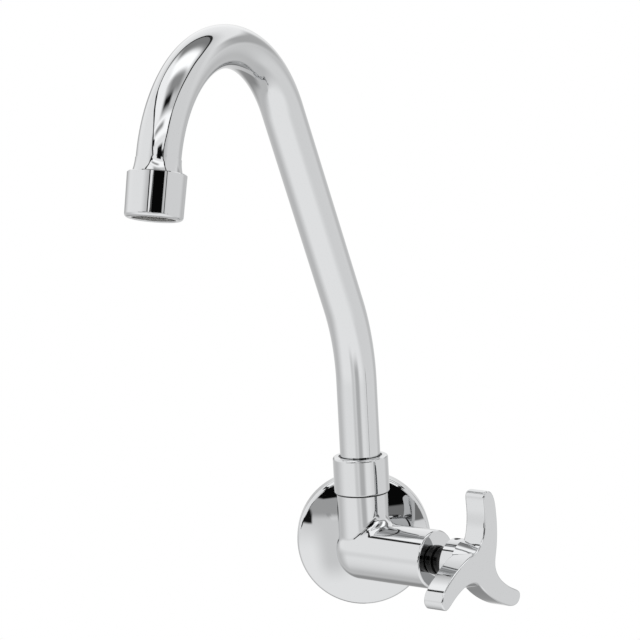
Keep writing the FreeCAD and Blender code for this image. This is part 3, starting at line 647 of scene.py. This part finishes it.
def use_tool(source, tree, values, name):
    modifier = source.modifiers.new("tool", "NODES")
    modifier.node_group = tree
    for item in tree.interface.items_tree:
        if item.item_type == "SOCKET" and item.in_out == "INPUT" and item.name in values:
            modifier[item.identifier] = values[item.name]
    source.update_tag()
    graph = bpy.context.evaluated_depsgraph_get()
    evaluated = source.evaluated_get(graph)
    mesh = bpy.data.meshes.new_from_object(
        evaluated, preserve_all_data_layers=True, depsgraph=graph)
    mesh.name = name
    bpy.data.objects.remove(source)
    piece = bpy.data.objects.new(name, mesh)
    bpy.context.scene.collection.objects.link(piece)
    print(name, len(mesh.polygons), "faces")
    return piece


# %% [markdown]
# One tool serves everything here that is round and follows a path: the tube, the wires of
# the gauze, the ridge of the thread and the black ring. It sweeps a circle along the
# curve, and its sizes are its named inputs.

# %% Sweep the tube
MERGE_REACH = 1e-7


def sweep_tool():
    tree, start = new_tool("sweep a round tube", {
        "Radius": "Float", "Sides": "Int", "Closed Ends": "Bool", "Finish": "Material"})
    ring = add(tree, "GeometryNodeCurvePrimitiveCircle", {
        "Resolution": start["Sides"], "Radius": start["Radius"]})
    swept = add(tree, "GeometryNodeCurveToMesh", {
        "Curve": start["Geometry"], "Profile Curve": ring, "Fill Caps": start["Closed Ends"]})
    smooth = add(tree, "GeometryNodeSetShadeSmooth", {"Geometry": swept})
    real = add(tree, "GeometryNodeRealizeInstances", {"Geometry": smooth})
    finish = add(tree, "GeometryNodeSetMaterial", {
        "Geometry": real, "Material": start["Finish"]})
    add(tree, "NodeGroupOutput", {"Geometry": finish})
    return tree


def point_outwards(piece):
    """Join points that meet and turn every face outwards."""
    form = bmesh.new()
    form.from_mesh(piece.data)
    bmesh.ops.remove_doubles(form, verts=form.verts, dist=MERGE_REACH)
    bmesh.ops.recalc_face_normals(form, faces=form.faces)
    form.to_mesh(piece.data)
    form.free()


sweep = sweep_tool()
spout_route = curve_through("spout_route", [[spout_place(*point) for point in route_points()]])
tube = use_tool(spout_route, sweep, {
    "Radius": TUBE_DIA / 2 * MM, "Sides": 96, "Closed Ends": False, "Finish": chrome_on_tube},
    "bent_tube")
point_outwards(tube)
shell = tube.modifiers.new("wall", "SOLIDIFY")
shell.thickness = TUBE_WALL * MM
shell.offset = -1.0
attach(tube, "spout")
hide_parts("spout_tube")

# %% [markdown]
# ## Wire gauze in the aerator
# The lowest piece of the aerator is a woven gauze that the solid model shows as a drilled
# disc. Here it is woven: two sets of wires cross, and each climbs over one and dives under
# the next. A pressed rim holds their ends.

# %% Weave the gauze
GAUZE_WIRE = 0.24
GAUZE_PITCH = 0.95
GAUZE_REACH = 10.2
RIM_WIRE = 0.6
STEPS_PER_PITCH = 4


def middle_of(node):
    low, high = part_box(node)
    return (Vector(low) + Vector(high)) / 2


def outlet_frame():
    """Two directions across the water's way out and the one along it."""
    heading = math.radians(LEAN + ARCH_TURN)
    start = spout_place(0, 0)
    along = (spout_place(math.sin(heading), math.cos(heading)) - start).normalized()
    across = (spout_place(math.cos(heading), -math.sin(heading)) - start).normalized()
    return across, along.cross(across), along


def gauze_runs():
    middle = middle_of("aerator_screen")
    across, beside, along = outlet_frame()
    lift = GAUZE_WIRE / 2
    count = int(GAUZE_REACH / GAUZE_PITCH)
    runs = []
    for first, second, sign in ((across, beside, 1), (beside, across, -1)):
        for number in range(-count, count + 1):
            offset = number * GAUZE_PITCH
            half_length = math.sqrt(GAUZE_REACH ** 2 - offset ** 2)
            steps = max(2, int(2 * half_length / GAUZE_PITCH * STEPS_PER_PITCH))
            places = []
            for step in range(steps + 1):
                distance = half_length * (2 * step / steps - 1)
                wave = sign * lift * math.cos(math.pi * (distance / GAUZE_PITCH + number))
                places.append(middle + (first * distance + second * offset + along * wave) * MM)
            runs.append(places)
    return runs


def circle_places(middle, first, second, radius, steps=96):
    turns = [2 * math.pi * step / steps for step in range(steps)]
    return [middle + (first * math.cos(a) + second * math.sin(a)) * radius * MM for a in turns]


gauze = use_tool(curve_through("gauze_wires", gauze_runs()), sweep, {
    "Radius": GAUZE_WIRE / 2 * MM, "Sides": 6, "Closed Ends": True, "Finish": steel_wire}, "gauze")
rim_places = circle_places(
    middle_of("aerator_screen"), *outlet_frame()[:2], GAUZE_REACH - RIM_WIRE / 4)
rim = use_tool(curve_through("gauze_rim_route", [rim_places], closed=True), sweep, {
    "Radius": RIM_WIRE / 2 * MM, "Sides": 12, "Closed Ends": False, "Finish": steel_wire},
    "gauze_rim")
for piece in (gauze, rim):
    point_outwards(piece)
    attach(piece, "spout")
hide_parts("aerator_screen")

# %% [markdown]
# ## Inlet thread
# The tail that screws into the wall elbow carries a half-inch pipe thread. The solid tail
# is a plain cylinder at the thread's outer size, so a low ridge wound along it shows the
# thread. The same sweep makes it from a helix.

# %% Wind the thread
THREAD_DIA = 20.96
THREAD_PITCH = 1.814
THREAD_RIDGE = 0.5
THREAD_SINK = 0.38
THREAD_START = 1.5
THREAD_END = 15.3
STEPS_PER_TURN = 64


def thread_places():
    """A helix behind the wall face, sunk so that only the ridge's crest stands out."""
    radius = THREAD_DIA / 2 + THREAD_RIDGE / 2 - THREAD_SINK
    turns = (THREAD_END - THREAD_START) / THREAD_PITCH
    steps = int(turns * STEPS_PER_TURN)
    places = []
    for step in range(steps + 1):
        turned = 2 * math.pi * turns * step / steps
        depth = THREAD_START + (THREAD_END - THREAD_START) * step / steps
        places.append(Vector((radius * math.cos(turned), depth, radius * math.sin(turned))) * MM)
    return places


thread = use_tool(curve_through("thread_route", [thread_places()]), sweep, {
    "Radius": THREAD_RIDGE / 2 * MM, "Sides": 8, "Closed Ends": True, "Finish": chrome_on_casting},
    "inlet_thread_ridge")
point_outwards(thread)
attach(thread, "fixed")

# %% [markdown]
# ## Painted shade under the union nut
# A black ring fills the narrow gap between the union nut and the body. It is painted
# shade: it stands in for the shadow in that gap and draws the dark line there.

# %% A black ring as painted shade in the gap
GAP_MIDDLE = 28.3
SHADE_RING_WIRE = 0.9
SHADE_RING_RADIUS = 12.0
gap_middle = Vector((0, -STANDOFF, GAP_MIDDLE)) * MM
gap_places = circle_places(gap_middle, Vector((1, 0, 0)), Vector((0, 1, 0)), SHADE_RING_RADIUS)
# Painted shade: this ring takes the black rubber finish only to darken the shadowed gap.
painted_shade_ring = use_tool(curve_through("gap_ring_route", [gap_places], closed=True), sweep, {
    "Radius": SHADE_RING_WIRE / 2 * MM, "Sides": 12, "Closed Ends": False, "Finish": black_rubber},
    "painted_shade_ring")
point_outwards(painted_shade_ring)
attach(painted_shade_ring, "fixed")
